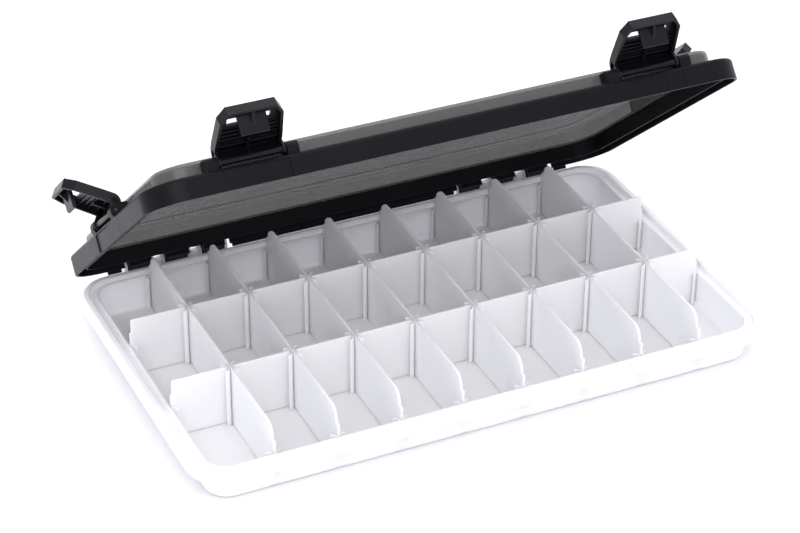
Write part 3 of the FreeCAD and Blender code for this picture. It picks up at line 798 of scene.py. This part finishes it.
# --- Latches ------------------------------------------------------------------------
# Four swing latches in a glossier black plastic: a cupped plate with cut corners, two
# legs that carry the pin, ribs behind the pivot and a hook that catches the flange.
latch_outer = 10.1 * mm
latch_length = 30.0 * mm
latch_wall = 1.7 * mm
latch_depth = 5.6 * mm
heel_top = 3.0 * mm
heel_round = 6.2 * mm
tip_cut = 6.3 * mm
tip_across = 5.2 * mm
tip_taper = 1.2 * mm
leg_width = 6.0 * mm
hook_half = 8.0 * mm
hook_thick = 1.7 * mm
hook_reach = -1.9 * mm
hook_root = 9.2 * mm
hook_root_thick = 2.4 * mm
web_set_back = 3.2 * mm
catch = -(pivot_z - flange_under + 0.3 * mm)
opening_half = 12.1 * mm
opening_high = catch + 1.0 * mm
opening_low = opening_high - 4.8 * mm
pivot_bar = 1.9 * mm
rib_heights = (-3.2 * mm, -8.0 * mm, -10.8 * mm, -13.6 * mm)
rib_depth = 1.5 * mm
centre_rib_depth = 3.4 * mm
leg_round = 2.8 * mm
leg_top = heel_top - 0.2 * mm
bury = 0.3 * mm
# The latch edges get a painted highlight, a little stronger than the frame's.
latch_black = moulded_plastic("black_latch_plastic", (0.003, 0.003, 0.004), (0.006, 0.006, 0.008), 0.30,
                              grain=0.4, painted_edge_highlight=0.02, gloss=0.2)


def latch_shell():
    """The cupped plate, lying in XY with its outer face down at Z 0 and the cup above."""
    low = -latch_length
    shell = bmesh.new()
    right = [(latch_half - tip_across, low), (latch_half - tip_taper, low + tip_cut),
             (latch_half, -leg_width), (latch_half, heel_top)]
    points = [(-x, y) for x, y in reversed(right)] + right
    shell.faces.new([shell.verts.new((x, y, 0)) for x, y in points])
    drawn = bmesh.ops.extrude_face_region(shell, geom=shell.faces[:])["geom"]
    bmesh.ops.translate(shell, verts=[v for v in drawn if isinstance(v, bmesh.types.BMVert)],
                        vec=(0, 0, latch_depth))
    bmesh.ops.recalc_face_normals(shell, faces=shell.faces)
    top = [f for f in shell.faces if f.normal.z > 0.9]
    bmesh.ops.inset_region(shell, faces=top, thickness=latch_wall, use_even_offset=True, use_boundary=True)
    drawn = bmesh.ops.extrude_face_region(shell, geom=top)["geom"]
    bmesh.ops.delete(shell, geom=[f for f in top if f.is_valid], context="FACES_ONLY")
    bmesh.ops.translate(shell, verts=[v for v in drawn if isinstance(v, bmesh.types.BMVert)],
                        vec=(0, 0, latch_wall - latch_depth))
    bmesh.ops.recalc_face_normals(shell, faces=shell.faces)
    for place, normal in (((opening_half, 0, 0), (1, 0, 0)), ((-opening_half, 0, 0), (1, 0, 0)),
                          ((0, opening_low, 0), (0, 1, 0)), ((0, opening_high, 0), (0, 1, 0))):
        bmesh.ops.bisect_plane(shell, geom=shell.verts[:] + shell.edges[:] + shell.faces[:],
                               plane_co=place, plane_no=normal, dist=weld)
    opening = [f for f in shell.faces if abs(f.normal.z) > 0.9
               and abs(f.calc_center_median().x) < opening_half
               and opening_low < f.calc_center_median().y < opening_high]
    rims = {e for f in opening for e in f.edges}
    bmesh.ops.delete(shell, geom=opening, context="FACES_ONLY")
    bmesh.ops.bridge_loops(shell, edges=list(rims))
    bmesh.ops.recalc_face_normals(shell, faces=shell.faces)
    heel = [e for e in shell.edges
            if all(abs(v.co.y - heel_top) < level_with and v.co.z < level_with for v in e.verts)]
    soften(shell, heel, latch_depth - 0.1 * mm, 8)
    soften(shell, sharp_edges(shell), 0.35 * mm, 2)
    return shell


def bar(x, y, z, soft):
    """A block between pairs of limits, with softened edges."""
    made = cut_out([(x[0], y[0]), (x[1], y[0]), (x[1], y[1]), (x[0], y[1])], {}, z[1] - z[0], soft)
    bmesh.ops.translate(made, verts=made.verts, vec=(0, 0, z[0]))
    return made


latch = bmesh.new()
# The shell's X is across the latch, its Y is up and its Z is inwards.
upright_shell = Matrix(((0, 0, -1, latch_outer), (1, 0, 0, 0), (0, 1, 0, 0), (0, 0, 0, 1)))
shell = latch_shell()
add(latch, shell, upright_shell)
shell.free()
plate_in = latch_outer - latch_wall
leg = cut_out([(-heel_top, heel_top - leg_width), (plate_in, heel_top - leg_width),
               (plate_in, leg_top), (-heel_top, leg_top)],
              {0: leg_round, 3: leg_round, 2: heel_round - latch_wall},
              latch_wall, 0.35 * mm, [(0, 0, latch_pin_radius + pin_clear)])
for start in (-latch_half, latch_half - latch_wall):
    add(latch, leg, shifted(0, start + latch_wall, 0) @ STANDING_X)
leg.free()
inner_half = latch_half - latch_wall / 2
plate_mid = plate_in + latch_wall / 2
rib_half = latch_wall / 2
rib_reach = 7.0 * mm
rib_top = -1.0 * mm
for x, y, z, soft in (
        *(((plate_in - rib_depth, plate_mid), (-inner_half, inner_half), (z - rib_half, z), 0.25 * mm)
          for z in rib_heights),
        ((0, rib_reach), (-rib_half, rib_half), (-pivot_bar, pivot_bar), 0.3 * mm),
        ((plate_in - centre_rib_depth, plate_mid), (-rib_half, rib_half),
         (rib_heights[1] - rib_half, rib_top), 0.3 * mm),
        ((0, rib_reach), (-inner_half, inner_half), (pivot_bar - latch_wall, pivot_bar), 0.3 * mm)):
    made = bar(x, y, z, soft)
    add(latch, made, Matrix())
    made.free()
round_bar = bmesh.new()
bmesh.ops.create_cone(round_bar, cap_ends=True, segments=32, radius1=pivot_bar, radius2=pivot_bar,
                      depth=2 * inner_half, matrix=turned("X", 90))
add(latch, round_bar, Matrix())
round_bar.free()
hook = cut_out([(hook_reach, catch), (hook_reach, catch - hook_thick), (plate_mid, catch - hook_root),
                (plate_mid, catch - hook_root + hook_root_thick), (hook_reach + hook_thick, catch)],
               {0: 0.5 * mm, 1: 0.6 * mm}, 2 * hook_half, 0.3 * mm)
add(latch, hook, shifted(0, hook_half, 0) @ STANDING_X)
hook.free()
tongue_slope = (hook_root - hook_thick) / (plate_mid - hook_reach)
end = rib_half - latch_length
web = cut_out([(hook_reach + web_set_back, catch - hook_thick - web_set_back * tongue_slope + bury),
               (latch_outer - latch_depth, end), (plate_mid, end), (plate_mid, catch - hook_root + bury)],
              {}, latch_wall, 0.2 * mm)
add(latch, web, shifted(0, latch_wall / 2, 0) @ STANDING_X)
web.free()

for name, (pivot, heading) in sites.items():
    joint = joints["latch_%s_pivot" % name]
    swing = Matrix.Rotation(radians(-joint["range_deg"][0]), 4, Vector((0, -1, 0)))
    made = latch.copy()
    made.transform(lid_open @ Matrix.Translation(pivot) @ turned("Z", heading) @ swing)
    piece(made, "latch_%s_shell" % name, latch_black, "latch_%s" % name, "latch_black", "latch_%s" % name)
latch.free()

# --- Pins ---------------------------------------------------------------------------
# Two steel pins hold the lid to the tray and four black ones hold the latches. Each is
# cut from drawn rod with its ends chamfered, and is pressed in.
pin_inset = 0.3 * mm


def drawn_metal(name, deep, pale, metallic, roughness):
    """Drawn rod: fine lines along X and a few duller patches."""
    paint = Shader(name)
    lines = paint.noise(0.4 * mm, 1.0, stretch=(0.03, 1.0, 1.0))
    patches = paint.noise(5 * mm, 3.0)
    shade = paint.blend(lines * 0.5 + patches * 0.5, deep, pale)
    rough = lines * 0.15 + patches * 0.15 + roughness
    relief = paint.node("Bump", {"Strength": 0.3, "Distance": 0.02 * mm, "Height": lines})
    return paint.finish(paint.node("BsdfPrincipled", {
        "Base Color": shade, "Metallic": metallic, "Roughness": rough, "Normal": relief}))


def pin(radius, length):
    """A rod along Y with chamfered ends."""
    rod = bmesh.new()
    bmesh.ops.create_cone(rod, cap_ends=True, segments=28, radius1=radius, radius2=radius, depth=length,
                          matrix=turned("X", 90))
    soften(rod, sharp_edges(rod), 0.25 * mm, 1)
    return rod


steel = drawn_metal("bright_steel", (0.42, 0.42, 0.43), (0.58, 0.58, 0.60), 1.0, 0.22)
black_pin = drawn_metal("black_latch_pin", (0.012, 0.012, 0.013), (0.024, 0.024, 0.026), 0.0, 0.32)
hinge_pin_length = 2 * (ear_reach + ear_thick - pin_inset)
for label, side in (("left", -1), ("right", 1)):
    rod = pin(hinge_pin_radius, hinge_pin_length)
    rod.transform(shifted(side * hinge_centre_x, hinge_y, hinge_z) @ turned("Z", 90))
    piece(rod, "hinge_pin_%s_rod" % label, steel, "tray", "hinge_pin_steel", "hinge_pin_" + label)
latch_pin_length = 2 * (half + knuckle_width - pin_inset)
for name, (pivot, heading) in sites.items():
    rod = pin(latch_pin_radius, latch_pin_length)
    rod.transform(lid_open @ Matrix.Translation(pivot) @ turned("Z", heading))
    piece(rod, "latch_pin_%s_rod" % name, black_pin, "lid", "latch_pin_black", "latch_pin_" + name)
